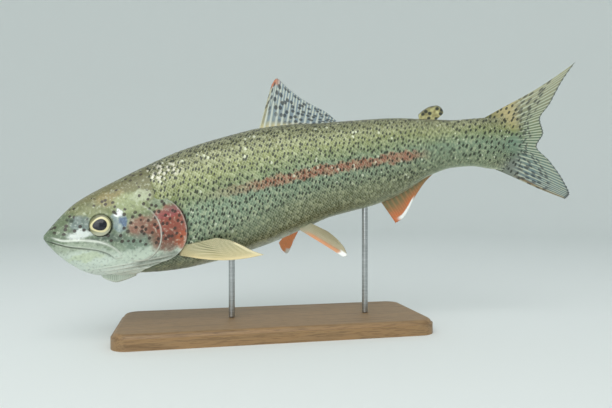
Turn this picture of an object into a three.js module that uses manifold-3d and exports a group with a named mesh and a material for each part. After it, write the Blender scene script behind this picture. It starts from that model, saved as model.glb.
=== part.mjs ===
// Rainbow trout, life size, as a still display model that hovers over a plain stand.
//
// Millimetres, +Z up. The head points along -X and the fish's left side faces -Y. The origin is the
// centre of the underside of the stand's base.
//
// The fish is laid out straight, in a frame of its own: a runs along the spine from the snout, d goes
// out to the fish's right, and h is the height above the spine. fishPoint() bends that straight fish
// into its swimming pose.

import * as THREE from 'three';
import { mergeVertices } from 'three/addons/utils/BufferGeometryUtils.js';
import Module from 'manifold-3d';

const wasm = await Module();
wasm.setup();

// ---------------------------------------------------------------- driving dimensions

const GAP = 0.3; // between pieces that touch
const FLESH_END = 470; // where the flesh of the tail stalk gives way to the tail fin
const HEAD_END = 97; // the back of the skull, under the gill covers
const VENT = 313; // the trunk ends and the tail begins
const BODY_RINGS = 38;
const RING_SIDES = 28;

// The pose: which way the spine heads at each station, in degrees. Positive yaw turns the head
// towards -Y and the tail away, and positive pitch drops the head below the tail.
const YAW = [[0, 16], [75, 13], [175, 3], [275, -4], [375, -9.5], [425, -9], [460, -2], [500, 6], [580, 10]];
const PITCH = [[0, 5.5], [20, 8.3], [50, 11.3], [100, 14.2], [175, 15.5], [250, 14.7], [325, 12.3],
  [400, 8], [450, 3.5], [500, -1], [580, -3]];
const HELD_AT = { a: 215, z: 145 }; // this station of the spine is right above the origin

// The body's outline: height of the back, depth of the belly and half of the width at each station.
const BACK = [
  [0, 1], [2, 3.6], [5, 6.6], [10, 11.5], [20, 19.9], [30, 26.4], [45, 32.6], [70, 40.2], [100, 47.8],
  [130, 53.8], [165, 57], [205, 58], [240, 54.8], [270, 49.2], [310, 43.4], [350, 37.6], [385, 30.2],
  [415, 25.8], [440, 25.6], [470, 31],
];
const BELLY = [
  [0, 1], [2, 4.8], [5, 9.8], [10, 17], [20, 28.3], [30, 36.6], [40, 41.4], [60, 46.4], [85, 51],
  [115, 55.4], [150, 57.1], [190, 55.8], [230, 51], [265, 46.2], [300, 46], [325, 43.8], [350, 37],
  [375, 27.2], [400, 22.8], [420, 23.4], [440, 27.5], [470, 33],
];
const WIDTH = [
  [0, 1.5], [2, 4.6], [5, 7.4], [10, 10.6], [20, 14.8], [30, 17.6], [45, 20.6], [60, 23], [80, 26],
  [100, 28], [120, 29.3], [150, 31.2], [190, 32], [230, 31], [270, 28], [310, 23.5], [350, 18], [380, 14],
  [410, 11], [440, 7.6], [460, 4], [470, 2.4],
];
const WIDEST = [[0, -1], [30, -4], [60, -7], [110, -8], [180, -2], [300, 0], [470, -1]];
const SQUARENESS = 0.9; // 1 is an ellipse, less is fuller at the shoulders

const EYE = { a: 46, h: 3.8, radius: 10.6, thickness: 7, proud: 1.6, forward: 12, upward: 8 };

// The gill cover is a rounded plate. Its outline is a squarish ellipse round its middle.
const GILL_COVER = {
  a: 85, h: -11.5, front: 20, back: 32.5, up: 31.5, down: 30, thickness: 3.2, corners: 24,
};

// The lower jaw is what lies below this line, from the chin to under the end of the upper jaw.
const MOUTH_LINE = [[-10, -2.2], [3, -3.6], [19, -10.2], [38, -16.4], [52, -27.5], [61, -54]];

const BASE = { length: 300, width: 110, height: 14, corner: 16, edge: 1.5 };
const ROD = { radius: 3, stations: [155, 300] };

// ---------------------------------------------------------------- curves and the spine

// A smooth curve through [x, y] stations that never overshoots them.
function through(stations) {
  const xs = stations.map((station) => station[0]);
  const ys = stations.map((station) => station[1]);
  const last = xs.length - 1;
  const rise = (i) => (ys[i + 1] - ys[i]) / (xs[i + 1] - xs[i]);
  const slopes = xs.map((_, i) => {
    if (i === 0 || i === last) return rise(Math.min(i, last - 1));
    const before = rise(i - 1);
    const after = rise(i);
    return before * after > 0 ? 2 * before * after / (before + after) : 0;
  });
  return (x) => {
    const at = THREE.MathUtils.clamp(x, xs[0], xs[last]);
    let i = 0;
    while (i < last - 1 && at > xs[i + 1]) i += 1;
    const span = xs[i + 1] - xs[i];
    const t = (at - xs[i]) / span;
    const eased = ys[i] + (ys[i + 1] - ys[i]) * t * t * (3 - 2 * t);
    return eased + span * t * (1 - t) * ((1 - t) * slopes[i] - t * slopes[i + 1]);
  };
}

const yaw = through(YAW);
const pitch = through(PITCH);
const back = through(BACK);
const belly = through(BELLY);
const width = through(WIDTH);
const widest = through(WIDEST);

// The direction from head to tail at one station of the spine.
function heading(a) {
  const turn = THREE.MathUtils.degToRad(yaw(a));
  const climb = THREE.MathUtils.degToRad(pitch(a));
  const level = Math.cos(climb);
  return new THREE.Vector3(level * Math.cos(turn), level * Math.sin(turn), Math.sin(climb));
}

const SPINE_STEP = 5;
const SPINE_END = 580;
const spine = [new THREE.Vector3()];
for (let a = 0; a < SPINE_END; a += SPINE_STEP) {
  const next = heading(a + SPINE_STEP / 2).multiplyScalar(SPINE_STEP);
  spine.push(next.add(spine[spine.length - 1]));
}
const held = spine[HELD_AT.a / SPINE_STEP].clone();
for (const point of spine) point.sub(held).z += HELD_AT.z;

// A point of the straight fish, carried into the pose.
function fishPoint(a, d, h) {
  const along = THREE.MathUtils.clamp(a, 0, SPINE_END - 0.001);
  const i = Math.floor(along / SPINE_STEP);
  const point = spine[i].clone().lerp(spine[i + 1], along / SPINE_STEP - i);
  const tailward = heading(along);
  const right = new THREE.Vector3(0, 0, 1).cross(tailward).normalize();
  const up = tailward.clone().cross(right);
  return point.addScaledVector(tailward, a - along).addScaledVector(right, d).addScaledVector(up, h);
}

// ---------------------------------------------------------------- closed solids

// A solid from its points and triangles, with its faces turned outwards.
function closedSolid(points, triangles) {
  let volume = 0;
  for (const [i, j, k] of triangles) volume += points[i].dot(points[j].clone().cross(points[k]));
  const outward = volume < 0 ? triangles.map(([i, j, k]) => [i, k, j]) : triangles;
  return new wasm.Manifold(new wasm.Mesh({
    numProp: 3,
    vertProperties: new Float32Array(points.flatMap((point) => point.toArray())),
    triVerts: new Uint32Array(outward.flat()),
  }));
}

// A tube through rings of points, closed at each end by a fan.
function tube(rings) {
  const sides = rings[0].length;
  const points = rings.flat();
  const triangles = [];
  for (let i = 0; i + 1 < rings.length; i += 1) {
    for (let j = 0; j < sides; j += 1) {
      const corner = i * sides + j;
      const beside = i * sides + (j + 1) % sides;
      triangles.push([corner, beside, beside + sides], [corner, beside + sides, corner + sides]);
    }
  }
  for (const [first, turned] of [[0, true], [(rings.length - 1) * sides, false]]) {
    const middle = points.length;
    const ring = points.slice(first, first + sides);
    points.push(ring.reduce((sum, point) => sum.add(point), new THREE.Vector3()).divideScalar(sides));
    for (let j = 0; j < sides; j += 1) {
      const edge = [first + j, first + (j + 1) % sides];
      if (turned) edge.reverse();
      triangles.push([middle, ...edge]);
    }
  }
  return closedSolid(points, triangles);
}

// A thin plate with one grid of points on each face. place(u, v, side) gives a point, with u along
// the root, v from root to margin, and side -1 or 1 for the face.
function plate(columns, rows, place) {
  const points = [];
  for (const side of [-1, 1]) {
    for (let j = 0; j <= rows; j += 1) {
      for (let i = 0; i <= columns; i += 1) points.push(place(i / columns, j / rows, side));
    }
  }
  const face = (columns + 1) * (rows + 1);
  const at = (i, j) => j * (columns + 1) + i;
  const triangles = [];
  for (let j = 0; j < rows; j += 1) {
    for (let i = 0; i < columns; i += 1) {
      const cell = [at(i, j), at(i + 1, j), at(i + 1, j + 1), at(i, j + 1)];
      for (const [p, q, r] of [[cell[0], cell[1], cell[2]], [cell[0], cell[2], cell[3]]]) {
        triangles.push([p, q, r], [face + p, face + r, face + q]);
      }
    }
  }
  const rim = [];
  for (let i = 0; i < columns; i += 1) rim.push(at(i, 0));
  for (let j = 0; j < rows; j += 1) rim.push(at(columns, j));
  for (let i = columns; i > 0; i -= 1) rim.push(at(i, rows));
  for (let j = rows; j > 0; j -= 1) rim.push(at(0, j));
  rim.forEach((p, i) => {
    const q = rim[(i + 1) % rim.length];
    triangles.push([q, p, face + p], [q, face + p, face + q]);
  });
  return closedSolid(points, triangles);
}

// A three.js geometry as a solid.
function fromGeometry(geometry) {
  geometry.deleteAttribute('normal');
  geometry.deleteAttribute('uv');
  const merged = mergeVertices(geometry, 1e-4);
  const points = [];
  const triangles = [];
  for (let i = 0; i < merged.attributes.position.count; i += 1) {
    points.push(new THREE.Vector3().fromBufferAttribute(merged.attributes.position, i));
  }
  for (let i = 0; i < merged.index.count; i += 3) {
    triangles.push([0, 1, 2].map((k) => merged.index.getX(i + k)));
  }
  return closedSolid(points, triangles);
}

// A slab right through the fish, or from one side to the other, with an outline seen from the side.
function slab(outline, from, to) {
  const shape = new THREE.Shape(outline.map(([a, h]) => new THREE.Vector2(a, h)));
  const geometry = new THREE.ExtrudeGeometry(shape, { depth: to - from, steps: 1, bevelEnabled: false });
  const { position } = geometry.attributes;
  for (let i = 0; i < position.count; i += 1) {
    const point = fishPoint(position.getX(i), position.getZ(i) + from, position.getY(i));
    position.setXYZ(i, point.x, point.y, point.z);
  }
  return fromGeometry(geometry);
}

// ---------------------------------------------------------------- body

// A power that keeps the sign, which squares off an ellipse.
const squared = (value) => Math.sign(value) * Math.abs(value) ** SQUARENESS;

// The skin at one station. turn goes round from the back (0) over the right side (90 degrees) to the
// belly, and grow moves the surface out, or in where it is negative.
function skinPoint(a, turn, grow = 0) {
  const middle = widest(a);
  const cosine = Math.cos(turn);
  const reach = cosine > 0 ? back(a) - middle : belly(a) + middle;
  const d = (width(a) + grow) * squared(Math.sin(turn));
  return fishPoint(a, d, middle + (reach + grow) * squared(cosine));
}

// The whole body from snout to tail fin, between two stations, moved out or in by grow.
function body(grow = 0) {
  const rings = [];
  for (let i = 0; i <= BODY_RINGS; i += 1) {
    const a = FLESH_END * (i / BODY_RINGS) ** 1.35;
    const beyond = i === 0 ? -grow : i === BODY_RINGS ? grow : 0;
    const ring = [];
    for (let j = 0; j < RING_SIDES; j += 1) {
      const point = skinPoint(a, (2 * Math.PI * j) / RING_SIDES, grow);
      ring.push(point.addScaledVector(heading(a), beyond));
    }
    rings.push(ring);
  }
  return tube(rings);
}

const DEEP = 80; // past the body on every side
const lengthOf = (from, to) => slab([[from, -DEEP], [to, -DEEP], [to, DEEP], [from, DEEP]], -DEEP, DEEP);

function jawBlock(grow) {
  const line = MOUTH_LINE.map(([a, h]) => [a + grow, h + grow]);
  return slab([...line, [-10, -DEEP]], -DEEP, DEEP);
}

function gillCoverOutline(grow) {
  const outline = [];
  for (let i = 0; i < GILL_COVER.corners; i += 1) {
    const turn = (2 * Math.PI * i) / GILL_COVER.corners;
    const across = Math.cos(turn) > 0 ? GILL_COVER.back : GILL_COVER.front;
    const rise = Math.sin(turn) > 0 ? GILL_COVER.up : GILL_COVER.down;
    outline.push([
      GILL_COVER.a + (across + grow) * squared(Math.cos(turn)),
      GILL_COVER.h + (rise + grow) * squared(Math.sin(turn)),
    ]);
  }
  return outline;
}

// The block that a gill cover is cut from, on side -1 (left) or 1 (right).
function gillCoverBlock(side, grow) {
  const block = slab(gillCoverOutline(grow), side < 0 ? -DEEP : 3, side < 0 ? -3 : DEEP);
  return block.subtract(body(-GILL_COVER.thickness - grow));
}

function eyeball(side, grow) {
  const ball = new THREE.SphereGeometry(1, 16, 10);
  ball.rotateX(Math.PI / 2);
  const round = EYE.radius + grow;
  const outward = EYE.thickness + grow;
  const turnIn = THREE.MathUtils.degToRad(EYE.forward);
  const tip = THREE.MathUtils.degToRad(EYE.upward);
  ball.scale(round, outward, round);
  ball.rotateZ(-side * turnIn);
  ball.rotateX(side * tip);
  const { position } = ball.attributes;
  const centre = EYE.proud - EYE.thickness + width(EYE.a);
  for (let i = 0; i < position.count; i += 1) {
    const out = side * centre + position.getY(i);
    const point = fishPoint(EYE.a + position.getX(i), out, EYE.h + position.getZ(i));
    position.setXYZ(i, point.x, point.y, point.z);
  }
  return fromGeometry(ball);
}

// ---------------------------------------------------------------- fins

// A fin on the fish's middle line: its root runs from one station to another inside the body, and
// its margin goes through the given [a, h] points at even steps from the first ray to the last. lean
// moves it sideways and bow curves its rays up or down.
function middleFin({ root, sunk, margin, thick, thin, lean = () => 0, bow = () => 0 }) {
  const steps = margin.length - 1;
  const marginA = through(margin.map(([a], i) => [i / steps, a]));
  const marginH = through(margin.map(([, h], i) => [i / steps, h]));
  return (u, v, side) => {
    const [a, h] = root(u);
    const depth = h - Math.sign(h) * sunk;
    const atA = THREE.MathUtils.lerp(a, marginA(u), v);
    const atH = THREE.MathUtils.lerp(depth, marginH(u), v) + bow(u) * Math.sin(Math.PI * v);
    return fishPoint(atA, lean(atH, v) + side * THREE.MathUtils.lerp(thick, thin, v) / 2, atH);
  };
}

const alongBack = (from, to) => (u) => {
  const a = THREE.MathUtils.lerp(from, to, u);
  return [a, back(a)];
};

const alongBelly = (from, to) => (u) => {
  const a = THREE.MathUtils.lerp(from, to, u);
  return [a, -belly(a)];
};

const dorsalFin = plate(12, 6, middleFin({
  root: alongBack(212, 287),
  sunk: 4,
  margin: [[238, 97.5], [244, 102], [251, 92.5], [258, 83], [266, 74], [275, 66], [284, 58], [292, 47]],
  thick: 2.4,
  thin: 0.8,
}));

const adiposeFin = plate(8, 4, middleFin({
  root: alongBack(374, 389),
  sunk: 3,
  margin: [[374, 37], [380, 41], [387, 43.5], [393, 43.8], [398, 40.5], [399.5, 35.5], [392, 29.5]],
  thick: 3,
  thin: 1.4,
}));

const analFin = plate(10, 6, middleFin({
  root: alongBelly(317, 377),
  sunk: 4,
  margin: [[329, -68.5], [338, -65.5], [346, -58], [353, -49], [361, -40.5], [369, -33], [379, -26]],
  thick: 2.4,
  thin: 0.8,
}));

// The tail fin: u runs from the lower edge over the fork to the upper edge. Its outer rays start
// ahead of the middle ones, on the tail stalk's edges, both edges sag a little, and both lobes lean
// away to the right.
const tailFin = plate(20, 7, middleFin({
  root: (u) => {
    const across = 2 * u - 1;
    return [456 - 16 * across ** 2, 25.5 * across];
  },
  sunk: 0,
  margin: [[548, -59], [553, -53], [541, -38], [520, -19.5], [500, -4], [509, 11], [506, 25], [521, 44],
    [539, 70], [561, 96]],
  thick: 2.8,
  thin: 0.9,
  lean: (h, v) => v * Math.abs(h) * 0.12,
  bow: (u) => -3.5 * (2 * u - 1) ** 4,
}));

// A fin of a pair: corners of the root and points of the margin as [a, d, h] on the right side.
function pairedFin(side, { root, margin, bow, thick, thin }) {
  const steps = margin.length - 1;
  const edge = [0, 1, 2].map((axis) => through(margin.map((point, i) => [i / steps, point[axis]])));
  const lead = new THREE.Vector3(...margin[0]).sub(new THREE.Vector3(...root[0]));
  const trail = new THREE.Vector3(...margin[steps]).sub(new THREE.Vector3(...root[0]));
  const face = lead.cross(trail).normalize();
  return (u, v, way) => {
    const from = new THREE.Vector3(...root[0]).lerp(new THREE.Vector3(...root[1]), u);
    const point = from.lerp(new THREE.Vector3(...edge.map((curve) => curve(u))), v);
    point.z -= bow * Math.sin(Math.PI * v) * (1 - u);
    point.addScaledVector(face, way * THREE.MathUtils.lerp(thick, thin, v) / 2);
    return fishPoint(point.x, side * point.y, point.z);
  };
}

const PECTORAL = { bow: 5, thick: 3, thin: 0.8 };
const PELVIC = { bow: 0, thick: 2.6, thin: 0.8 };

const pectoralFins = {
  left: plate(8, 8, pairedFin(-1, {
    ...PECTORAL,
    root: [[105, 21, -39], [107, 22, -31]],
    margin: [[179, 50, -58], [170, 47, -52], [161, 43, -44], [152, 38, -37], [141, 34, -32]],
  })),
  right: plate(8, 8, pairedFin(1, {
    ...PECTORAL,
    root: [[105, 21, -39], [107, 22, -31]],
    margin: [[178, 42, -38], [173, 45, -32], [165, 45, -26], [155, 42, -22], [142, 37, -22]],
  })),
};

const pelvicFins = {
  left: plate(6, 6, pairedFin(-1, {
    ...PELVIC,
    root: [[222, 9, -46], [236, 9, -44]],
    margin: [[256, 46, -83], [260, 46, -82], [260, 42, -76], [256, 37, -66], [250, 31, -57]],
  })),
  right: plate(6, 6, pairedFin(1, {
    ...PELVIC,
    root: [[222, 9, -46], [236, 9, -44]],
    margin: [[208, 31, -61], [209.5, 37, -68.5], [215, 42, -76], [220, 34, -68.5], [222.5, 26, -61]],
  })),
};

// The thin skin under the throat, one fold on each side of the middle.
function throatMembrane(side) {
  const margin = [[40, -43], [44, -46.5], [51, -50.3], [58, -50], [67, -48.6]];
  return plate(8, 2, middleFin({
    root: (u) => [THREE.MathUtils.lerp(41, 66, u), -34],
    sunk: 0,
    margin,
    thick: 1.2,
    thin: 0.8,
    lean: (h) => side * (3 + (h + 52) * 0.25),
  }));
}

// ---------------------------------------------------------------- stand

function standBase() {
  const { length, width: across, height, corner, edge } = BASE;
  const x = length / 2 - edge;
  const y = across / 2 - edge;
  const outline = new THREE.Shape();
  outline.absarc(x - corner, y - corner, corner, 0, Math.PI / 2);
  outline.absarc(-x + corner, y - corner, corner, Math.PI / 2, Math.PI);
  outline.absarc(-x + corner, -y + corner, corner, Math.PI, 1.5 * Math.PI);
  outline.absarc(x - corner, -y + corner, corner, 1.5 * Math.PI, 2 * Math.PI);
  outline.closePath();
  const block = new THREE.ExtrudeGeometry(outline, {
    depth: height - 2 * edge,
    curveSegments: 6,
    bevelThickness: edge,
    bevelSize: edge,
    bevelSegments: 1,
  });
  block.translate(0, 0, edge);
  return fromGeometry(block);
}

function standRod(a) {
  const foot = fishPoint(a, 0, -belly(a));
  const bottom = BASE.height + GAP;
  const height = foot.z + 10 - bottom;
  const rod = new THREE.CylinderGeometry(ROD.radius, ROD.radius, height, 20);
  rod.rotateX(Math.PI / 2);
  rod.translate(foot.x, foot.y, bottom + height / 2);
  return fromGeometry(rod).subtract(body(GAP));
}

// ---------------------------------------------------------------- assembly

const trout = new THREE.Group();

function addNode(name, solid, { color, roughness, metalness = 0 }) {
  const mesh = solid.getMesh();
  const geometry = new THREE.BufferGeometry();
  geometry.setAttribute('position', new THREE.BufferAttribute(mesh.vertProperties, 3));
  geometry.setIndex(new THREE.BufferAttribute(mesh.triVerts, 1));
  geometry.computeVertexNormals();
  const node = new THREE.Mesh(geometry, new THREE.MeshStandardMaterial({ color, roughness, metalness }));
  node.name = name;
  trout.add(node);
}

const SKIN = { color: '#8b8f63', roughness: 0.35 };
const CHEEK = { color: '#a98a76', roughness: 0.3 };
const JAW = { color: '#b9bdb4', roughness: 0.3 };
const FIN = { color: '#9a9c8c', roughness: 0.45 };
const WARM_FIN = { color: '#c98a5c', roughness: 0.45 };
const EYEBALL = { color: '#c9b978', roughness: 0.1 };
const WOOD = { color: '#8a6a4a', roughness: 0.5 };
const STEEL = { color: '#b4b6b8', roughness: 0.25, metalness: 1 };

const SIDES = [['left', -1], ['right', 1]];
const wholeBody = body();
const grownBody = body(GAP);

let head = wholeBody.intersect(lengthOf(-DEEP, HEAD_END)).subtract(jawBlock(GAP));
let trunk = wholeBody.intersect(lengthOf(HEAD_END + GAP, VENT));
for (const [sideName, side] of SIDES) {
  const pocket = gillCoverBlock(side, GAP);
  head = head.subtract(pocket).subtract(eyeball(side, GAP));
  trunk = trunk.subtract(pocket);
  addNode(`gill_cover_${sideName}`, wholeBody.intersect(gillCoverBlock(side, 0)), CHEEK);
  addNode(`eye_${sideName}`, eyeball(side, 0), EYEBALL);
}
addNode('head', head, SKIN);
addNode('lower_jaw', wholeBody.intersect(jawBlock(0)), JAW);
addNode('trunk', trunk, SKIN);
addNode('tail_stalk', wholeBody.intersect(lengthOf(VENT + GAP, FLESH_END + DEEP)), SKIN);

addNode('dorsal_fin', dorsalFin.subtract(grownBody), FIN);
addNode('adipose_fin', adiposeFin.subtract(grownBody), FIN);
addNode('anal_fin', analFin.subtract(grownBody), WARM_FIN);
addNode('tail_fin', tailFin.subtract(grownBody), FIN);
for (const [sideName, side] of SIDES) {
  addNode(`pectoral_fin_${sideName}`, pectoralFins[sideName].subtract(grownBody), WARM_FIN);
  addNode(`pelvic_fin_${sideName}`, pelvicFins[sideName].subtract(grownBody), WARM_FIN);
  addNode(`throat_membrane_${sideName}`, throatMembrane(side).subtract(grownBody), JAW);
}

addNode('stand_base', standBase(), WOOD);
for (const [name, a] of [['stand_rod_front', ROD.stations[0]], ['stand_rod_rear', ROD.stations[1]]]) {
  addNode(name, standRod(a), STEEL);
}

export default trout;
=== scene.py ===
# Rainbow trout, life size, a still display model held over a plain stand.

import math

import bmesh
import bpy
import numpy as np
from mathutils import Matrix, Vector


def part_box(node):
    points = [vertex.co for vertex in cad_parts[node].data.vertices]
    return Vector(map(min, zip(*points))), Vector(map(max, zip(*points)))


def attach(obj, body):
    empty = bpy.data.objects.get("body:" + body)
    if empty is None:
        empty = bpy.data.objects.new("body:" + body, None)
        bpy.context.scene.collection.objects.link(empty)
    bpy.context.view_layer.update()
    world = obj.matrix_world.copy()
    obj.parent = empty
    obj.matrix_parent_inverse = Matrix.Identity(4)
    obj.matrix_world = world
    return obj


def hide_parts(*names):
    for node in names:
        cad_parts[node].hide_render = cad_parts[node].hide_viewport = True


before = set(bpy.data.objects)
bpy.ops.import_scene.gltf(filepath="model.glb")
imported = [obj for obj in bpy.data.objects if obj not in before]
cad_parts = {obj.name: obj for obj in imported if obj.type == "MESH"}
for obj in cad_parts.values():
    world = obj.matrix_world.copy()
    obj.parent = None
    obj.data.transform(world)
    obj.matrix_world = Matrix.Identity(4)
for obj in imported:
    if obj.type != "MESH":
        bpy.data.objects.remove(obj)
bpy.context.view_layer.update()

# ------------------------------------------------------------------ camera
# A level camera a little below the fish's middle, half a metre off its left side and turned
# twelve degrees towards the tail, so that the head comes nearer than the tail.

camera = bpy.data.objects.new("camera", bpy.data.cameras.new("camera"))
camera.data.sensor_width = 36
camera.data.lens = 31.2
camera.data.clip_start = 0.01
camera.location = (-0.0797, -0.5256, 0.1253)
camera.rotation_euler = (math.radians(90), 0, math.radians(-12))
bpy.context.collection.objects.link(camera)
bpy.context.scene.camera = camera
bpy.context.scene.view_settings.view_transform = "Standard"

# ------------------------------------------------------------------ room and light
# A round pale sweep, with no corner to show, lit by one big soft window overhead and a weak one
# behind the viewer, the way daylight falls through water from above.


def linear(code):
    """A six-digit sRGB hex colour as linear red, green, blue and alpha."""
    parts = [int(code[i : i + 2], 16) / 255 for i in (1, 3, 5)]
    return [p / 12.92 if p <= 0.04045 else ((p + 0.055) / 1.055) ** 2.4 for p in parts] + [1.0]


def add(tree, kind, inputs=(), stops=(), **settings):
    """Adds one node with its settings, its input values or links, and a ramp's colour stops."""
    made = tree.nodes.new("ShaderNode" + kind)
    for name, value in settings.items():
        setattr(made, name, value)
    for socket, value in dict(inputs).items():
        if isinstance(value, bpy.types.Node):
            value = value.outputs[0]
        if isinstance(value, bpy.types.NodeSocket):
            tree.links.new(value, made.inputs[socket])
        else:
            made.inputs[socket].default_value = value
    for i, (place, code) in enumerate(stops):
        if i > 1:
            made.color_ramp.elements.new(place)
        made.color_ramp.elements[i].position = place
        made.color_ramp.elements[i].color = linear(code)
    return made


def new_finish(name, settings):
    """A material, its node tree and its main shader, with the settings that are the same all over."""
    finish = bpy.data.materials.new(name)
    finish.use_nodes = True
    shader = finish.node_tree.nodes["Principled BSDF"]
    for socket, value in settings.items():
        shader.inputs[socket].default_value = value
    return finish, finish.node_tree, shader


def spun(profile, merge):
    """A closed form turned from the (radius, height) points of its profile."""
    form = bmesh.new()
    made = [form.verts.new((radius, 0, height)) for radius, height in profile]
    rims = [form.edges.new(pair) for pair in zip(made, made[1:])]
    bmesh.ops.spin(
        form, geom=made + rims, cent=(0, 0, 0), axis=(0, 0, 1), angle=2 * math.pi, steps=64, use_merge=True
    )
    bmesh.ops.remove_doubles(form, verts=form.verts, dist=merge)
    return form


def mesh_of(name, form):
    """The mesh of a finished form, its faces outward."""
    bmesh.ops.recalc_face_normals(form, faces=form.faces)
    mesh = bpy.data.meshes.new(name)
    form.to_mesh(mesh)
    form.free()
    return mesh


def shown(name, mesh):
    """A mesh as an object in the scene."""
    piece = bpy.data.objects.new(name, mesh)
    bpy.context.collection.objects.link(piece)
    return piece


SWEEP_RADIUS = 2.6
SWEEP_CURVE = 0.8
SWEEP_HEIGHT = 2.0

FLAT_RADIUS = SWEEP_RADIUS - SWEEP_CURVE
profile = [(0.0, 0.0), (FLAT_RADIUS, 0.0)]
for turn in (step / 8 * math.pi / 2 for step in range(1, 9)):
    profile.append((FLAT_RADIUS + SWEEP_CURVE * math.sin(turn), SWEEP_CURVE * (1 - math.cos(turn))))
profile.append((SWEEP_RADIUS, SWEEP_HEIGHT))
floor_mesh = mesh_of("pale_sweep", spun(profile, 1e-5))
floor_mesh.shade_smooth()
floor = shown("pale_sweep", floor_mesh)

# Matt paper sweep: an even pale grey with no gloss.
paper, _, _ = new_finish(
    "matt_paper_sweep", {"Base Color": linear("#eef1ef"), "Roughness": 0.9, "Specular IOR Level": 0.1}
)
floor_mesh.materials.append(paper)

world = bpy.data.worlds.new("studio_air")
bpy.context.scene.world = world
world.use_nodes = True
world.node_tree.nodes["Background"].inputs["Color"].default_value = linear("#dfe8ea")
world.node_tree.nodes["Background"].inputs["Strength"].default_value = 0.74

for name, place, aim, size, watts in (
    ("window_above", (-0.3, -0.95, 1.15), (0.0, 0.0, 0.14), 1.3, 10),
    ("window_behind_viewer", (-0.9, -1.4, 0.35), (-0.05, 0.0, 0.13), 1.0, 5),
):
    lamp = bpy.data.objects.new(name, bpy.data.lights.new(name, "AREA"))
    lamp.data.size = size
    lamp.data.energy = watts
    lamp.location = place
    sight = [b - a for a, b in zip(place, aim)]
    level = math.hypot(sight[0], sight[1])
    lamp.rotation_euler = (math.atan2(level, -sight[2]), 0, math.atan2(-sight[0], sight[1]))
    bpy.context.collection.objects.link(lamp)

# ------------------------------------------------------------------ skin
# The fish from lips to tail stalk in one skin: smooth over the skull, jaws and gill covers, and
# the bed that the scales lie on behind them. It is laid out straight, in millimetres, as a along
# the spine from the snout, d out to the fish's right and h above the spine, and posed() bends it.

MM = 0.001
FLESH_END = 470
HELD_STATION = 215
HELD_HEIGHT = 145
YAW = [(0, 16), (75, 13), (175, 3), (275, -4), (375, -9.5), (425, -9), (460, -2), (500, 6), (580, 10)]
PITCH = [(0, 5.5), (20, 8.3), (50, 11.3), (100, 14.2), (175, 15.5), (250, 14.7), (325, 12.3), (400, 8)]
PITCH += [(450, 3.5), (500, -1), (580, -3)]
BACK = [(0, 1), (2, 3.6), (5, 6.6), (10, 11.5), (20, 19.9), (30, 26.4), (45, 32.6), (70, 40.2), (100, 47.8)]
BACK += [(130, 53.8), (165, 57), (205, 58), (240, 54.8), (270, 49.2), (310, 43.4), (350, 37.6), (385, 30.2)]
BACK += [(415, 25.8), (440, 25.6), (470, 31)]
BELLY = [(0, 1), (2, 4.8), (5, 9.8), (10, 17), (20, 28.3), (30, 36.6), (40, 41.4), (60, 46.4), (85, 51)]
BELLY += [(115, 55.4), (150, 57.1), (190, 55.8), (230, 51), (265, 46.2), (300, 46), (325, 43.8), (350, 37)]
BELLY += [(375, 27.2), (400, 22.8), (420, 23.4), (440, 27.5), (470, 33)]
WIDTH = [(0, 1.5), (2, 4.6), (5, 7.4), (10, 10.6), (20, 14.8), (30, 17.6), (45, 20.6), (60, 23), (80, 26)]
WIDTH += [(100, 28), (120, 29.3), (150, 31.2), (190, 32), (230, 31), (270, 28), (310, 23.5), (350, 18)]
WIDTH += [(380, 14), (410, 11), (440, 7.6), (460, 4), (470, 2.4)]
WIDEST = [(0, -1), (30, -4), (60, -7), (110, -8), (180, -2), (300, 0), (470, -1)]
COAT_DEPTH = 0.3


def through(stations):
    """A smooth curve through (x, y) stations that never overshoots them."""
    x, y = np.array(stations, dtype=float).T
    rise = np.diff(y) / np.diff(x)
    turning = rise[:-1] * rise[1:] <= 0
    joint = np.where(turning, 1, rise[:-1] + rise[1:])
    inner = np.where(turning, 0, 2 * rise[:-1] * rise[1:] / joint)
    slope = np.concatenate([rise[:1], inner, rise[-1:]])

    def curve(at):
        at = np.clip(at, x[0], x[-1])
        i = np.clip(np.searchsorted(x, at, side="right") - 1, 0, len(x) - 2)
        span = x[i + 1] - x[i]
        t = (at - x[i]) / span
        eased = y[i] + (y[i + 1] - y[i]) * t * t * (3 - 2 * t)
        return eased + span * t * (1 - t) * ((1 - t) * slope[i] - t * slope[i + 1])

    return curve


yaw, pitch, back, belly, width, widest = map(through, (YAW, PITCH, BACK, BELLY, WIDTH, WIDEST))


def heading(a):
    """The directions from head to tail at stations of the spine."""
    turn, climb = np.radians(yaw(a)), np.radians(pitch(a))
    return np.stack([np.cos(climb) * np.cos(turn), np.cos(climb) * np.sin(turn), np.sin(climb)], axis=-1)


SPINE_STATIONS = np.arange(0, 581)
spine = np.concatenate([np.zeros((1, 3)), np.cumsum(heading(SPINE_STATIONS[:-1] + 0.5), axis=0)])
spine += np.array([0, 0, HELD_HEIGHT]) - spine[HELD_STATION]


def posed(a, d, h):
    """Points of the straight fish, in millimetres, as points of the swimming one, in metres."""
    a, d, h = np.broadcast_arrays(a, d, h)
    along = np.clip(a, 0, SPINE_STATIONS[-1])
    tailward = heading(along)
    right = np.cross([0, 0, 1], tailward)
    right /= np.linalg.norm(right, axis=-1, keepdims=True)
    up = np.cross(tailward, right)
    point = np.stack([np.interp(along, SPINE_STATIONS, spine[:, k]) for k in range(3)], axis=-1)
    point = point + tailward * (a - along)[..., None] + right * d[..., None] + up * h[..., None]
    return point * MM


def section(a, turn):
    """Side offset and height of the flesh, where turn goes from the back over the right side."""
    squareness = 0.9
    cosine, sine = np.cos(turn), np.sin(turn)
    middle = widest(a)
    reach = np.where(cosine > 0, back(a) - middle, belly(a) + middle)
    return (
        width(a) * np.sign(sine) * np.abs(sine) ** squareness,
        middle + reach * np.sign(cosine) * np.abs(cosine) ** squareness,
    )


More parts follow.
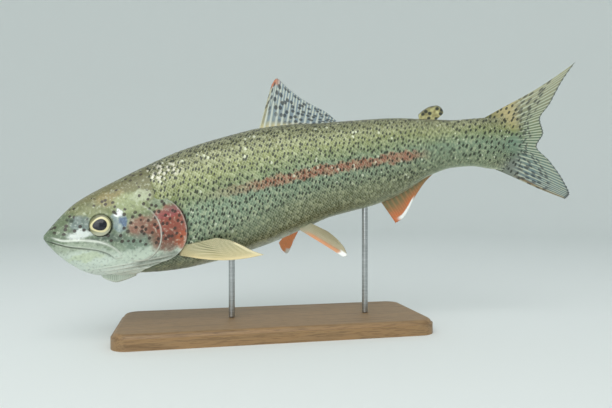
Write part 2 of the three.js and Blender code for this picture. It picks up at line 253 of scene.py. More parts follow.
def lifted(a, turn, lift):
    """The straight fish's surface, raised by lift, or sunk where lift is negative."""
    d, h = section(a, turn)
    d_next, h_next = section(a, turn + 0.01)
    d_last, h_last = section(a, turn - 0.01)
    run_d, run_h = d_next - d_last, h_next - h_last
    length = np.hypot(run_d, run_h) + 1e-9
    return a, d - run_h / length * lift, h + run_d / length * lift


def step(x, width_of_step):
    """0 below zero and 1 above it, with a smooth change between them."""
    return 0.5 + 0.5 * np.tanh(x / width_of_step)


def ridge(x, half_width):
    """1 at zero, falling away smoothly on both sides."""
    return np.exp(-((x / half_width) ** 2))


# The outline of each gill cover, as the station of its rear edge for a turn round the body. Over
# the cover the edge goes up to the nape, and under it forward along the throat.
COVER_MIDDLE, COVER_HEIGHT = 85, -11.5
COVER_BACK, COVER_UP, COVER_DOWN = 32.5, 31.5, 30
COVER_OPEN_UP_TO = 13
THROAT_EDGE = through([(-60, 56), (-52, 60), (-45, 70), (-40, 82)])


def cover_edge(turn):
    """The station where the head's skin ends in the gill cover's rear edge, and how far it gapes."""
    a = np.full_like(turn, 104.0)
    for _ in range(14):
        _, h = section(a, turn)
        above = np.minimum(h, COVER_OPEN_UP_TO) - COVER_HEIGHT
        rise = np.clip(np.abs(above) / np.where(above > 0, COVER_UP, COVER_DOWN), 0, 1)
        rear = COVER_MIDDLE + COVER_BACK * (1 - rise**2.22) ** 0.45
        under = step(-h - 41, 1.5)
        a = 0.5 * a + 0.5 * (rear * (1 - under) + np.minimum(rear, THROAT_EDGE(h)) * under)
    return a, step(COVER_OPEN_UP_TO - h, 2.5)


def behind_gills(a, edge, gape):
    """How far the shoulder's skin lies below the flesh's outline behind a gill cover."""
    return -2.0 * gape * np.exp(-np.maximum(a - edge, 0) / 9) - COAT_DEPTH


mouth_line = through([(-2, -2), (3, -3.6), (19, -10.2), (30, -13.6), (38, -16.4), (46, -21), (52, -27.5)])
upper_lip_top = through([(6, 1), (14, -2.6), (27, -4.4), (38, -7.2), (46, -11), (52, -16), (57, -22.5)])


def head_relief(a, d, h):
    """How far the head's skin stands out or in, the painted shade in its creases, pits and grooves, and its
    pale edges, with painted highlight along the throat's rays.
    """
    eye = np.hypot(a - 46, h - 3.8)
    lift = -4.5 * step(9.2 - eye, 0.35) + 0.45 * ridge(eye - 10.4, 0.8) - 0.5 * ridge(eye - 13.5, 1.8)
    dark = 0.7 * ridge(eye - 9.9, 0.5)
    for a_at, h_at, radius in ((20.2, 13.4, 1.2), (23.6, 12.0, 1.5)):
        nostril = np.hypot(a - a_at, h - h_at)
        lift += -1.7 * ridge(nostril, radius) + 0.35 * ridge(nostril - radius - 1, 0.7)
        dark += ridge(nostril, radius)

    above_mouth = h - mouth_line(a)
    in_mouth = step(a - 0.6, 0.5) * step(51 - a, 1.5)
    lift -= in_mouth * 1.6 * ridge(above_mouth + 0.3, 0.75)
    lift -= in_mouth * 0.9 * step(-above_mouth, 0.4) * ridge(above_mouth, 7)
    dark += 0.9 * in_mouth * ridge(above_mouth + 0.3, 0.6)
    below_top = upper_lip_top(a) - h
    lip = step(above_mouth, 0.35) * step(below_top, 0.5) * step(57 - a, 0.8) * step(a - 7, 2)
    lift += lip * (0.75 + 0.25 * ridge(below_top - 2.4, 0.8))
    lift -= lip * 0.35 * ridge(below_top - 3.6, 0.5) * step(a - 30, 3)
    pale = 0.8 * lip * ridge(below_top - 1.2, 0.9) + 0.5 * lip * ridge(above_mouth - 0.8, 0.6)
    dark += 0.35 * ridge(below_top + 0.5, 0.7) * step(a - 12, 3) * step(56 - a, 1.5)

    # The front bone of the gill cover ends in a raised crescent.
    crescent = (np.hypot((a - 74) / 20.3, (h + 9) / 25.5) - 1) * 21
    on_crescent = step(a - 66, 3) * step(12 - h, 3)
    lift += on_crescent * (0.65 * step(-crescent, 0.3) - 0.45 * ridge(crescent - 0.9, 0.6))
    pale += on_crescent * ridge(crescent + 0.2, 0.55) * (0.35 + 0.65 * step(-h - 1, 3))
    dark += 0.3 * on_crescent * ridge(crescent - 0.9, 0.6)
    # Two seams between the lower bones of the gill cover.
    for (a0, h0), (a1, h1) in (((95, -31), (117, -24)), ((64, -34.5), (92, -38.5))):
        span = math.hypot(a1 - a0, h1 - h0)
        along = ((a - a0) * (a1 - a0) + (h - h0) * (h1 - h0)) / span
        off = ((h - h0) * (a1 - a0) - (a - a0) * (h1 - h0)) / span
        on_seam = step(along, 1) * step(span - along, 1)
        lift += -0.4 * on_seam * ridge(off, 0.6)
        dark += 0.3 * on_seam * ridge(off, 0.6)
    # The thin rays of the throat skin run below and behind the jaw. The pale along their ridges is painted
    # highlight.
    for drop in (0, 3.4, 6.8, 10.2):
        ray = h + 34.5 + drop + 0.055 * (a - 40)
        on_ray = step(a - 34 - 1.2 * drop, 3) * step(98 - a, 4)
        lift += 0.35 * on_ray * ridge(ray - 1.2, 0.8) - 0.3 * on_ray * ridge(ray, 0.5)
        pale += 0.45 * on_ray * ridge(ray - 1.2, 0.8)
    # Low swells: the brow over the eye, the cheek below it and the jaw's own ridge.
    lift += 0.8 * ridge(np.hypot((a - 44) / 15, (h - 17) / 4.5), 1)
    lift += 0.6 * ridge(np.hypot((a - 70) / 14, (h + 8) / 12), 1)
    lift += 0.5 * ridge(h + 26 + 0.2 * (a - 25), 3) * step(a - 10, 4) * step(48 - a, 4)
    side = step(np.abs(d) - 0.22 * width(a), 0.08 * width(a) + 0.1)
    return lift * side, np.clip(dark, 0, 1) * side, np.clip(pale, 0, 1) * side


def sheet_piece(name, columns, rows, place):
    """A grid of quads bent into a closed piece. place() gives its points and point attributes."""
    grid = bmesh.new()
    bmesh.ops.create_grid(grid, x_segments=columns, y_segments=rows, size=0.5)
    mesh = bpy.data.meshes.new(name)
    grid.to_mesh(mesh)
    grid.free()
    flat = np.empty(len(mesh.vertices) * 3)
    mesh.vertices.foreach_get("co", flat)
    u, v = flat.reshape(-1, 3)[:, :2].T + 0.5
    points, attributes = place(u, v)
    mesh.vertices.foreach_set("co", points.ravel())
    for key, values in attributes.items():
        mesh.attributes.new(key, "FLOAT_VECTOR", "POINT").data.foreach_set("vector", values.ravel())
    corners = np.empty(len(mesh.loops), dtype=int)
    mesh.loops.foreach_get("vertex_index", corners)
    unwrap = mesh.uv_layers.new(name="OFBake")
    unwrap.data.foreach_set("uv", np.stack([u[corners], v[corners]], axis=-1).ravel())
    solid = bmesh.new()
    solid.from_mesh(mesh)
    bmesh.ops.remove_doubles(solid, verts=solid.verts, dist=2e-6)
    bmesh.ops.holes_fill(solid, edges=[edge for edge in solid.edges if edge.is_boundary])
    bmesh.ops.recalc_face_normals(solid, faces=solid.faces)
    solid.to_mesh(mesh)
    solid.free()
    mesh.shade_smooth()
    return shown(name, mesh)


HEAD_RINGS, FLAP_RINGS, BODY_RINGS, ROUND = 150, 3, 100, 288
FOLD_BACK = np.array([0, -1.2, -2.4, -0.2])
FOLD_DOWN = np.array([0, -1.3, -2.6, -2.9])


def lie_of(turn):
    """1 on the back, 0 on the side and -1 on the belly."""
    return 1 - 2 * np.arccos(np.clip(np.cos(turn), -1, 1)) / np.pi


TABLE_STEP = 2
TABLE_STATIONS = np.arange(0, FLESH_END + 1, TABLE_STEP)
TABLE_TURNS = np.linspace(0, np.pi, 241)

# How far each point of a station's section lies above (+) or below (-) the middle of the side,
# measured over the skin.
table_d, table_h = section(TABLE_STATIONS[:, None], TABLE_TURNS[None, :])
lengths = np.hypot(np.diff(table_d, axis=1), np.diff(table_h, axis=1))
round_way = np.concatenate([np.zeros((len(TABLE_STATIONS), 1)), np.cumsum(lengths, axis=1)], axis=1)
girth_up = round_way[:, 120]
girth_down = round_way[:, 240] - girth_up
rise_table = girth_up[:, None] - round_way


def rise_at(a, turn):
    """How far over the skin a point lies above the middle of the side."""
    row = np.clip(a / TABLE_STEP, 0, len(TABLE_STATIONS) - 1.001)
    column = np.arccos(np.clip(np.cos(turn), -1, 1)) / np.pi * 239.999
    i, j = row.astype(int), column.astype(int)
    p, q = row - i, column - j
    near = rise_table[i, j] * (1 - q) + rise_table[i, j + 1] * q
    far = rise_table[i + 1, j] * (1 - q) + rise_table[i + 1, j + 1] * q
    return near * (1 - p) + far * p


def flesh_end(turn):
    """The station where the flesh gives way to the tail fin, furthest back in the middle."""
    return FLESH_END - 14 * lie_of(turn) ** 2


def tail_taper(a, turn):
    """The flesh thins into the tail fin over its last three centimetres."""
    thinned = np.clip(1 - (flesh_end(turn) - a) / 30, 0, 1)
    return 1 - 0.86 * thinned * thinned * (3 - 2 * thinned)


def skin_place(u, v):
    """The skin's points. Rings go from lips to tail fin, and one lies right on the gill edge."""
    ring = np.rint(u * (HEAD_RINGS + FLAP_RINGS + BODY_RINGS)).astype(int)
    turn = 2 * np.pi * v
    edge, gape = cover_edge(turn)
    head_part = np.clip(ring / HEAD_RINGS, 0, 1) ** 1.15
    body_part = np.clip((ring - HEAD_RINGS - FLAP_RINGS) / BODY_RINGS, 0, 1) ** 1.3
    fold = np.clip(ring - HEAD_RINGS, 0, FLAP_RINGS)
    on_head = ring <= HEAD_RINGS
    on_body = ring > HEAD_RINGS + FLAP_RINGS
    a = edge * head_part + (flesh_end(turn) - edge) * body_part + gape * FOLD_BACK[fold] * ~on_body
    d, h = section(a, turn)
    relief, dark, pale = head_relief(a, d, h)
    edge_swell = 0.5 * gape * ridge(edge - a, 3.5) - COAT_DEPTH * (1 - gape) * step(a - 95, 3)
    head_lift = relief + edge_swell
    fold_lift = gape * FOLD_DOWN[fold] - COAT_DEPTH * (1 - gape)
    lift = np.where(on_head, head_lift, np.where(on_body, behind_gills(a, edge, gape), fold_lift))
    gill = gape * np.where(on_head, 0, np.where(on_body, np.exp(-np.maximum(a - edge, 0) / 1.5), 1))
    pale = on_head * np.clip(pale + 0.45 * gape * ridge(edge - a - 0.3, 0.6), 0, 1)
    a, d, h = lifted(a, turn, lift)
    d = d * tail_taper(a, turn) * (ring > 0) * (ring < HEAD_RINGS + FLAP_RINGS + BODY_RINGS)
    h = np.where(ring == 0, -0.5, h)
    attributes = {
        "straight": np.stack([a, d, h], axis=-1) * MM,
        "zones": np.stack([lie_of(turn), on_head * dark, pale], axis=-1),
        "places": np.stack([1.0 * on_head * step(gape * 24 + 100 - a, 3), gill, 0 * a], axis=-1),
        "laid": np.stack([a, rise_at(a, turn), 0 * a], axis=-1) * MM,
    }
    return posed(a, d, h), attributes


skin = sheet_piece("trout_skin", HEAD_RINGS + FLAP_RINGS + BODY_RINGS, ROUND, skin_place)
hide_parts("head", "lower_jaw", "gill_cover_left", "gill_cover_right", "trunk", "tail_stalk")
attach(skin, "root")


def blotch(tree, straight, a, h, along, high, soft=0.6):
    """A soft-edged oval mark, the same on both sides, with its middle and half sizes in millimetres."""
    middle = {0: straight, 1: (a * MM, 0, h * MM)}
    centred = add(tree, "VectorMath", middle, operation="SUBTRACT")
    stretch = (1 / (along * MM), 0, 1 / (high * MM))
    even = add(tree, "VectorMath", {0: centred, 1: stretch}, operation="MULTIPLY")
    reach = add(tree, "VectorMath", {0: even}, operation="LENGTH").outputs["Value"]
    fade = {"Value": reach, "From Min": 1 + soft / 2, "From Max": 1 - soft / 2}
    return add(tree, "MapRange", fade, interpolation_type="SMOOTHSTEP").outputs[0]


def spots(tree, laid, cell, radius, lean, stretch):
    """Spots, one to a cell of the given millimetres, leaning back and drawn out along the lean."""
    turned = add(
        tree,
        "Mapping",
        {"Vector": laid, "Rotation": (0, 0, math.radians(lean)), "Scale": (stretch, 1 / stretch, 1)},
        vector_type="TEXTURE",
    )
    cells = {"Vector": turned, "Scale": 1 / (cell * MM), "Randomness": 0.75}
    near = add(tree, "TexVoronoi", cells, voronoi_dimensions="2D").outputs["Distance"]
    uneven = add(tree, "TexNoise", {"Vector": laid, "Scale": 1 / (6.25 * MM)}).outputs[0]
    near = add(tree, "Math", {0: uneven, 1: 0.3, 2: near}, operation="MULTIPLY_ADD").outputs[0]
    fade = {"Value": near, "From Min": radius / cell + 0.22, "From Max": radius / cell + 0.08}
    return add(tree, "MapRange", fade, interpolation_type="SMOOTHSTEP").outputs[0]


def between(tree, value, nothing, full):
    """A mask that goes smoothly from 0 at one value to 1 at another."""
    fade = {"Value": value, "From Min": nothing, "From Max": full}
    return add(tree, "MapRange", fade, interpolation_type="SMOOTHSTEP").outputs[0]


def times(tree, *factors):
    """The product of several masks."""
    product = factors[0]
    for factor in factors[1:]:
        product = add(tree, "Math", {0: product, 1: factor}, operation="MULTIPLY").outputs[0]
    return product


def painted(tree, colour, layers):
    """Paints (mask, hex colour) layers over a colour, in order."""
    for mask, tint in layers:
        inputs = {0: mask, 6: colour, 7: linear(tint)}
        colour = add(tree, "Mix", inputs, data_type="RGBA").outputs[2]
    return colour


def marked(tree, straight, marks, soft=0.6):
    """Layers of oval marks: station, height, half length, half height, strength and colour."""
    return [(times(tree, blotch(tree, straight, *mark[:4], soft), mark[4]), mark[5]) for mark in marks]


# Spots as (cell, radius, lean in degrees, drawn out by), in millimetres: small ones on the body,
# and streaks on the tail stalk.
BODY_SPOTS = (5.0, 1.22, 58, 1.3)
STALK_SPOTS = (6.2, 1.5, 52, 1.35)


def trout_colours(tree):
    """The markings that a trout's skin and scales share, and the masks that finish them."""
    straight = add(tree, "Attribute", attribute_name="straight").outputs["Vector"]
    laid = add(tree, "Attribute", attribute_name="laid").outputs["Vector"]
    zones = add(tree, "Attribute", attribute_name="zones").outputs["Vector"]
    a, _, h = add(tree, "SeparateXYZ", {0: straight}).outputs
    lie, dark, pale = add(tree, "SeparateXYZ", {0: zones}).outputs

    # Uneven patches one to two centimetres wide keep the bands from looking sprayed on.
    patches = {"Vector": straight, "Scale": 1 / (16.7 * MM), "Detail": 3.0}
    drift = add(tree, "TexNoise", patches).outputs[0]
    wandered = add(tree, "Math", {0: drift, 1: 0.2, 2: lie}, operation="MULTIPLY_ADD").outputs[0]
    level = add(tree, "MapRange", {"Value": wandered, "From Min": -0.9, "From Max": 1.1})
    # The colour runs from the pale belly over the flanks to the olive back. The dark olive low on the flank
    # is painted shade, as the light falls from above, and the slightly lighter top edge of the back is
    # painted highlight.
    colour = add(
        tree,
        "ValToRGB",
        {"Fac": level},
        stops=[(0.0, "#c3cab0"), (1.0, "#6f6a52"), (0.09, "#9aa68c"), (0.2, "#525837"), (0.33, "#576343"),
               (0.42, "#667a60"), (0.5, "#718c74"), (0.56, "#798a5f"), (0.64, "#7f8749"), (0.76, "#6d6f3f"),
               (0.88, "#65623f")],
    ).outputs[0]

    # The rose band's line starts about 14 mm above the spine at the snout and sinks 52 mm in every
    # metre tailwards. Two grains of unevenness make it wander and break up, and take 8 mm on average.
    lane = add(tree, "Math", {0: a, 1: 0.052, 2: h}, operation="MULTIPLY_ADD")
    broken = {"Vector": straight, "Scale": 1 / (5.26 * MM), "Detail": 2.0}
    breaks = add(tree, "TexNoise", broken).outputs[0]
    lane = add(tree, "Math", {0: drift, 1: 6 * MM, 2: lane}, operation="MULTIPLY_ADD")
    lane = add(tree, "Math", {0: breaks, 1: 11 * MM, 2: lane}, operation="MULTIPLY_ADD")
    lane = add(tree, "Math", {0: lane, 1: 22.8 * MM}, operation="SUBTRACT")
    off_lane = add(tree, "Math", {0: lane}, operation="ABSOLUTE").outputs[0]
    band = times(
        tree,
        between(tree, off_lane, 6.5 * MM, 2.5 * MM),
        between(tree, a, 125 * MM, 225 * MM),
        between(tree, a, 382 * MM, 350 * MM),
    )
    # A wide dark olive-brown patch low on the flank and belly is painted shade, and the spots keep off it.
    painted_belly_shade = blotch(tree, straight, 255, -36, 95, 16, 1.2)
    white_belly = times(
        tree,
        between(tree, lie, -0.6, -0.78),
        between(tree, a, 72 * MM, 90 * MM),
        between(tree, a, 250 * MM, 205 * MM),
        0.9,
    )
    # At the root of the tail: a cream wash above, which is partly painted highlight, green in the middle
    # and grey below.
    root_of_tail = [(480, 32, 28, 18, 0.75, "#cdbd8b"), (478, -4, 20, 12, 0.4, "#7f9480")]
    root_of_tail += [(478, -30, 24, 14, 0.6, "#8a918c")]
    colour = painted(tree, colour, [
        (times(tree, painted_belly_shade, 0.6), "#57592f"),
        *marked(tree, straight, [(150, -20, 50, 22, 0.5, "#829a80")], 1.2),
        *marked(tree, straight, [(410, -8, 55, 18, 0.5, "#6b8769")], 1.0),
        (times(tree, band, 0.9), "#9b4a34"),
        (white_belly, "#d3dcd2"),
        # A grey-green mark over the pale belly, under the gill cover and the shoulder fin's foot, is
        # painted shade.
        *marked(tree, straight, [(98, -44, 28, 13, 0.85, "#818e7c")], 0.8),
        *marked(tree, straight, root_of_tail, 1.0),
    ])
    outside_belly_shade = add(tree, "Math", {0: 1.0, 1: painted_belly_shade}, operation="SUBTRACT").outputs[0]
    freckled = times(tree, between(tree, lie, -0.7, -0.4), between(tree, outside_belly_shade, 0.2, 0.75))
    rearward = between(tree, a, 350 * MM, 420 * MM)
    forward = add(tree, "Math", {0: 1.0, 1: rearward}, operation="SUBTRACT").outputs[0]
    body_spots = times(tree, spots(tree, laid, *BODY_SPOTS), freckled, forward, 0.9)
    stalk_spots = times(tree, spots(tree, laid, *STALK_SPOTS), freckled, rearward, 0.9)
    at = {"straight": straight, "laid": laid, "a": a, "h": h, "lie": lie, "dark": dark, "pale": pale}
    return colour, at, freckled, body_spots, stalk_spots


# Wet trout skin: smooth, slightly pearly and clear-coated, so that it glints where the light is.
wet_skin, tree, shader = new_finish(
    "wet_trout_skin", {"Metallic": 0.1, "Roughness": 0.38, "Coat Weight": 0.25, "Coat Roughness": 0.12}
)
colour, at, _, body_spots, stalk_spots = trout_colours(tree)
straight, laid, a, h, _, dark, pale = at.values()
places = add(tree, "Attribute", attribute_name="places").outputs["Vector"]
on_head, gill, _ = add(tree, "SeparateXYZ", {0: places}).outputs
head_colour = add(
    tree,
    "ValToRGB",
    {"Fac": add(tree, "MapRange", {"Value": h, "From Min": -50 * MM, "From Max": 50 * MM})},
    stops=[(0.0, "#dfe9de"), (1.0, "#63613f"), (0.16, "#d0ddce"), (0.27, "#a3b29b"), (0.38, "#77876f"),
           (0.5, "#84937a"), (0.6, "#8a9267"), (0.7, "#81845a"), (0.85, "#716f4a")],
).outputs[0]
# The snout's dark top, the pale cheek and jaws, the blue-grey round the eye and the rose gill cover. Behind
# the eye a bluish patch is partly painted highlight and a white spot is painted highlight, and a grey-green
# mark under the gill cover is painted shade.
HEAD_MARKS = [
    (7, 9, 22, 13, 0.7, "#5f7258"),
    (46, 32, 34, 7, 0.4, "#7d7449"),
    (60, 25, 14, 6, 0.4, "#a08a4c"),
    (96, 29, 22, 4, 0.45, "#6d6a3c"),
    (74, 19, 15, 8, 0.7, "#a0ab7c"),
    (85, 22, 9, 5, 0.55, "#c6ccb0"),
    (103, 13, 13, 5, 0.7, "#8a9880"),
    (30, 8, 9, 7, 0.7, "#76868a"),
    (28, -1, 10, 4, 0.95, "#e6ece6"),
    (47, -9, 16, 4.5, 0.75, "#58665a"),
    # A bluish patch behind the eye, partly painted highlight.
    (61, 4, 6, 9, 0.7, "#9aabb3"),
    (65, 3, 3.5, 4, 0.75, "#47618a"),
    # A white spot of painted highlight.
    (62, 11, 2.6, 3, 0.95, "#fbfafa"),
    (73, 0, 6, 5, 0.4, "#b3bfa6"),
    (79, -5, 12, 9, 0.75, "#9d5f50"),
    (88, -16, 8, 13, 0.7, "#8a5441"),
    (107, -10, 18, 16, 0.92, "#9a4636"),
    (104, 2, 14, 5, 0.6, "#b0525a"),
    (99, -24, 12, 9, 0.75, "#7c4330"),
    (113, -25, 9, 8, 0.85, "#b25a38"),
    (110, 4, 6, 4, 0.4, "#6d5f5a"),
    (72, -18, 13, 8, 0.65, "#74897a"),
    (66, -28, 20, 6, 0.6, "#d9e6d6"),
    (20, -13, 26, 6, 0.6, "#c2cdb8"),
    (22, -24, 34, 9, 0.5, "#e9f4ea"),
    (30, -21, 14, 3.5, 0.4, "#bcc894"),
    # Painted shade under the gill cover and the shoulder fin's foot.
    (88, -38, 24, 5, 0.7, "#6c7464"),
]
# The marks' outlines are ragged by a few millimetres, and fine mottling runs over all of them.
uneven = {"Vector": straight, "Scale": 1 / (5.88 * MM), "Detail": 3.0}
ragged = add(tree, "TexNoise", uneven).outputs["Color"]
spread = {0: ragged, 1: (9 * MM,) * 3, 2: (-4.5 * MM,) * 3}
shift = add(tree, "VectorMath", spread, operation="MULTIPLY_ADD")
wavering = add(tree, "VectorMath", {0: straight, 1: shift}, operation="ADD").outputs[0]
head_colour = painted(tree, head_colour, marked(tree, wavering, HEAD_MARKS))
mottle = add(tree, "TexNoise", {"Vector": straight, "Scale": 1 / (2.38 * MM), "Detail": 4.0}).outputs[0]
head_colour = painted(tree, head_colour, [
    (times(tree, between(tree, mottle, 0.52, 0.72), 0.38), "#dfe6cf"),
    (times(tree, between(tree, mottle, 0.48, 0.3), 0.38), "#4b5340"),
])
sparse = add(tree, "TexNoise", {"Vector": straight, "Scale": 1 / (13.3 * MM)}).outputs[0]
cheek = blotch(tree, straight, 98, -8, 36, 26, 0.4)
thinned = add(tree, "Math", {0: between(tree, sparse, 0.5, 0.53), 1: cheek}, operation="MAXIMUM")
above_jaw = add(tree, "Math", {0: a, 1: 0.35, 2: h}, operation="MULTIPLY_ADD").outputs[0]
head_spots = times(
    tree,
    spots(tree, laid, 6.2, 1.45, 40, 1.1),
    thinned.outputs[0],
    between(tree, above_jaw, 4 * MM, 7 * MM),
    between(tree, h, -27 * MM, -22 * MM),
)
colour = add(tree, "Mix", {0: on_head, 6: colour, 7: head_colour}, data_type="RGBA").outputs[2]
off_head = add(tree, "Math", {0: 1.0, 1: on_head}, operation="SUBTRACT").outputs[0]
colour = painted(tree, colour, [
    (times(tree, body_spots, off_head), "#2a2f24"),
    (stalk_spots, "#2a2f24"),
    (times(tree, head_spots, on_head, 0.9), "#33261f"),
    # Painted shade in the head's creases, pits and grooves.
    (times(tree, dark, 0.75), "#30362c"),
    (pale, "#eef2e6"),
    # The gills' own red in the gap under each cover's edge, darkened as painted shade.
    (gill, "#4a1d18"),
])
tree.links.new(colour, shader.inputs["Base Color"])
# The skin's grain is finer in life, and is drawn about a millimetre coarse so that it shows.
pores = {"Vector": straight, "Scale": 1 / (1.11 * MM), "Detail": 2.0}
bump = {"Height": add(tree, "TexNoise", pores), "Strength": 0.25, "Distance": 0.3 * MM}
tree.links.new(add(tree, "Bump", bump).outputs[0], shader.inputs["Normal"])
skin.data.materials.append(wet_skin)

# ------------------------------------------------------------------ scales
# Small round scales in slanting rows from the gills to the tail, each rooted in the skin at its
# front edge and lying free at its rear edge over the two behind it. Real ones stand about 2.6 mm
# apart both ways. These stand 3.1 mm apart along the body, to show, in rows 1.85 mm apart.

SCALE_STEP = 3.1
ROW_STEP = 1.85
SCALE_LENGTH, SCALE_BREADTH = 1.75 * SCALE_STEP, 2.3 * ROW_STEP
ROOT_DEPTH = 0.18
CROWN, HOLLOW = 0.16, -0.05
FIRST_SCALE, LAST_SCALE = 84, 468
ROWS_UP_OR_DOWN = 44
UNWRAP_START, UNWRAP_LENGTH, UNWRAP_GIRTH = 80, 400, 280
PATCH = 0.003
SCALE_OUTLINE = [(-0.5, 0.0), (-0.3, 0.38), (0.1, 0.5), (0.4, 0.33), (0.5, 0.0), (0.4, -0.33), (0.1, -0.5)]
SCALE_OUTLINE += [(-0.3, -0.38), (0.1, 0.0), (0.1, 0.0)]


def turn_at(a, rise):
    """The turn round the body at a station and a distance over the skin above the side's middle."""
    place = np.clip(a, 0, FLESH_END - 0.01) / TABLE_STEP
    low = place.astype(int)
    part = place - low
    found = []
    for row in (low, low + 1):
        turns = np.empty_like(a)
        for station in np.unique(row):
            here = row == station
            turns[here] = np.interp(-rise[here], -rise_table[station], TABLE_TURNS)
        found.append(turns)
    return found[0] * (1 - part) + found[1] * part


def size_at(a):
    """Scales grow smaller with the body's girth towards the tail."""
    girth = girth_up + girth_down
    return (np.interp(a, TABLE_STATIONS, girth) / girth.max()) ** 0.5


def scale_coat(name, side, seed):
    """One side's scales as one mesh of closed lenses, side -1 on the left and 1 on the right."""
    stations = [FIRST_SCALE]
    while stations[-1] < LAST_SCALE:
        stations.append(stations[-1] + SCALE_STEP * size_at(stations[-1]))
    rows = np.arange(-ROWS_UP_OR_DOWN, ROWS_UP_OR_DOWN + 1)
    column, row = np.meshgrid(np.arange(len(stations)), rows, indexing="ij")
    column = column.ravel() + 0.5 * (row.ravel() % 2)
    row = row.ravel()
    a = np.interp(column, np.arange(len(stations)), stations)
    size = size_at(a)
    rise = row * ROW_STEP * size
    room_up = np.interp(a, TABLE_STATIONS, girth_up) - 0.5 * ROW_STEP * size
    room_down = np.interp(a, TABLE_STATIONS, girth_down) - 0.5 * ROW_STEP * size
    fits = (rise < room_up) & (rise > -room_down)
    a, size, rise = a[fits], size[fits], rise[fits]
    turn = turn_at(a, rise)
    edge, gape = cover_edge(turn)
    first = edge + 2.4 - 13 * (1 - gape)
    rng = np.random.default_rng(seed)
    last = flesh_end(turn) - 5 + 4 * rng.random(len(a))
    fits = (a > first) & (a < last)
    a, size, rise, turn, edge, gape = (values[fits] for values in (a, size, rise, turn, edge, gape))

    along_slope = (turn_at(a + 1.5, rise) - turn_at(a - 1.5, rise)) / 3
    d0, h0 = section(a, turn - 0.01)
    d1, h1 = section(a, turn + 0.01)
    turn_per_mm = 0.02 / np.hypot(d1 - d0, h1 - h0)
    tone = rng.random(len(a))
    tilt = (0.3 + 0.3 * rng.random(len(a))) * (1 - 0.6 * step(a - 452, 8))
    roll = 0.12 * (rng.random(len(a)) - 0.5)
    x, y = np.array(SCALE_OUTLINE).T
    crown = np.array([0] * 8 + [CROWN, HOLLOW])
    local_x = x[None, :] * SCALE_LENGTH * size[:, None]
    local_y = y[None, :] * SCALE_BREADTH * size[:, None]
    height = (x[None, :] + 0.5) * tilt[:, None] + crown[None, :] + roll[:, None] * local_y - ROOT_DEPTH
    lens_a = a[:, None] + local_x
    lens_turn = turn[:, None] + along_slope[:, None] * local_x - local_y * turn_per_mm[:, None]
    base = behind_gills(lens_a, edge[:, None], gape[:, None])
    if side < 0:
        lens_turn = 2 * np.pi - lens_turn
    lens_a, lens_d, lens_h = lifted(lens_a, lens_turn, base)
    taper = tail_taper(lens_a, lens_turn)
    _, out_d, out_h = lifted(lens_a, lens_turn, base + height)
    lens_d, lens_h = lens_d * taper + out_d - lens_d, out_h
    points = posed(lens_a, lens_d, lens_h).reshape(-1, 3)

    one = [(k, (k + 1) % 8, 8) for k in range(8)] + [((k + 1) % 8, k, 9) for k in range(8)]
    if side > 0:
        one = [(q, p, r) for p, q, r in one]
    faces = (np.array(one)[None, :, :] + 10 * np.arange(len(a))[:, None, None]).reshape(-1, 3)
    mesh = bpy.data.meshes.new(name)
    mesh.from_pydata(points.tolist(), [], faces.tolist())
    vectors = {
        "straight": np.stack([lens_a, lens_d, lens_h], axis=-1) * MM,
        "zones": np.stack([lie_of(lens_turn), 0 * lens_a, 0 * lens_a], axis=-1),
        "laid": np.stack([lens_a, rise[:, None] + local_y, 0 * lens_a], axis=-1) * MM,
        "scale": np.stack([tone[:, None] + 0 * lens_a, x[None, :] + 0.5 + 0 * lens_a, 0 * lens_a], axis=-1),
    }
    for key, values in vectors.items():
        mesh.attributes.new(key, "FLOAT_VECTOR", "POINT").data.foreach_set("vector", values.ravel())
    # Each scale has its own small patch, at its root's place on the side laid out flat.
    patch_u = (a[:, None] - UNWRAP_START) / UNWRAP_LENGTH + PATCH * x[None, :]
    patch_v = 0.5 + rise[:, None] / UNWRAP_GIRTH + PATCH * y[None, :]
    patches = np.stack([patch_u.ravel(), patch_v.ravel()], axis=-1)[faces.ravel()]
    mesh.uv_layers.new(name="OFBake").data.foreach_set("uv", patches.ravel())
    mesh.shade_smooth()
    ends = np.empty(2 * len(mesh.edges), dtype=int)
    mesh.edges.foreach_get("vertices", ends)
    on_rim = (ends.reshape(-1, 2) % 10 < 8).all(axis=1)
    mesh.attributes.new("sharp_edge", "BOOLEAN", "EDGE").data.foreach_set("value", on_rim)
    coat = shown(name, mesh)
    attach(coat, "root")
    return coat


# Trout scales: clear horn over a pearly skin, each in its own tone. Each scale's bright rear rim is painted
# highlight and its darker covered front painted shade, and some scales carry painted glints.
pearly_scales, tree, shader = new_finish(
    "pearly_trout_scales",
    {"Metallic": 0.25, "Roughness": 0.36, "Coat Weight": 0.15, "Coat Roughness": 0.15},
)
colour, at, freckled, body_spots, stalk_spots = trout_colours(tree)
scale = add(tree, "Attribute", attribute_name="scale").outputs["Vector"]
tone, rim, _ = add(tree, "SeparateXYZ", {0: scale}).outputs
rear_half = between(tree, rim, 0.3, 0.6)
# Where the nape's scales carry painted glints.
nape = blotch(tree, at["straight"], 106, 39, 22, 8)
colour = painted(tree, colour, [
    (times(tree, between(tree, tone, 0.6, 0.0), 0.38), "#454e33"),
    (times(tree, between(tree, tone, 0.55, 1.0), 0.36), "#cdd0a6"),
    # Painted highlight on each scale's rear rim, and painted shade on its front, which lies under the scale
    # before it.
    (times(tree, between(tree, rim, 0.6, 1.0), 0.4), "#d6dabc"),
    (times(tree, between(tree, rim, 0.55, 0.2), 0.4), "#475036"),
    # Painted glints: on some scales of the nape, and on a few over the spotted flanks.
    (times(tree, between(tree, tone, 0.66, 0.7), rear_half, nape, 0.5), "#efe9dc"),
    (times(tree, between(tree, tone, 0.985, 0.99), rear_half, freckled, 0.45), "#eef1dc"),
    (body_spots, "#262b20"),
    (stalk_spots, "#262b20"),
])
tree.links.new(colour, shader.inputs["Base Color"])

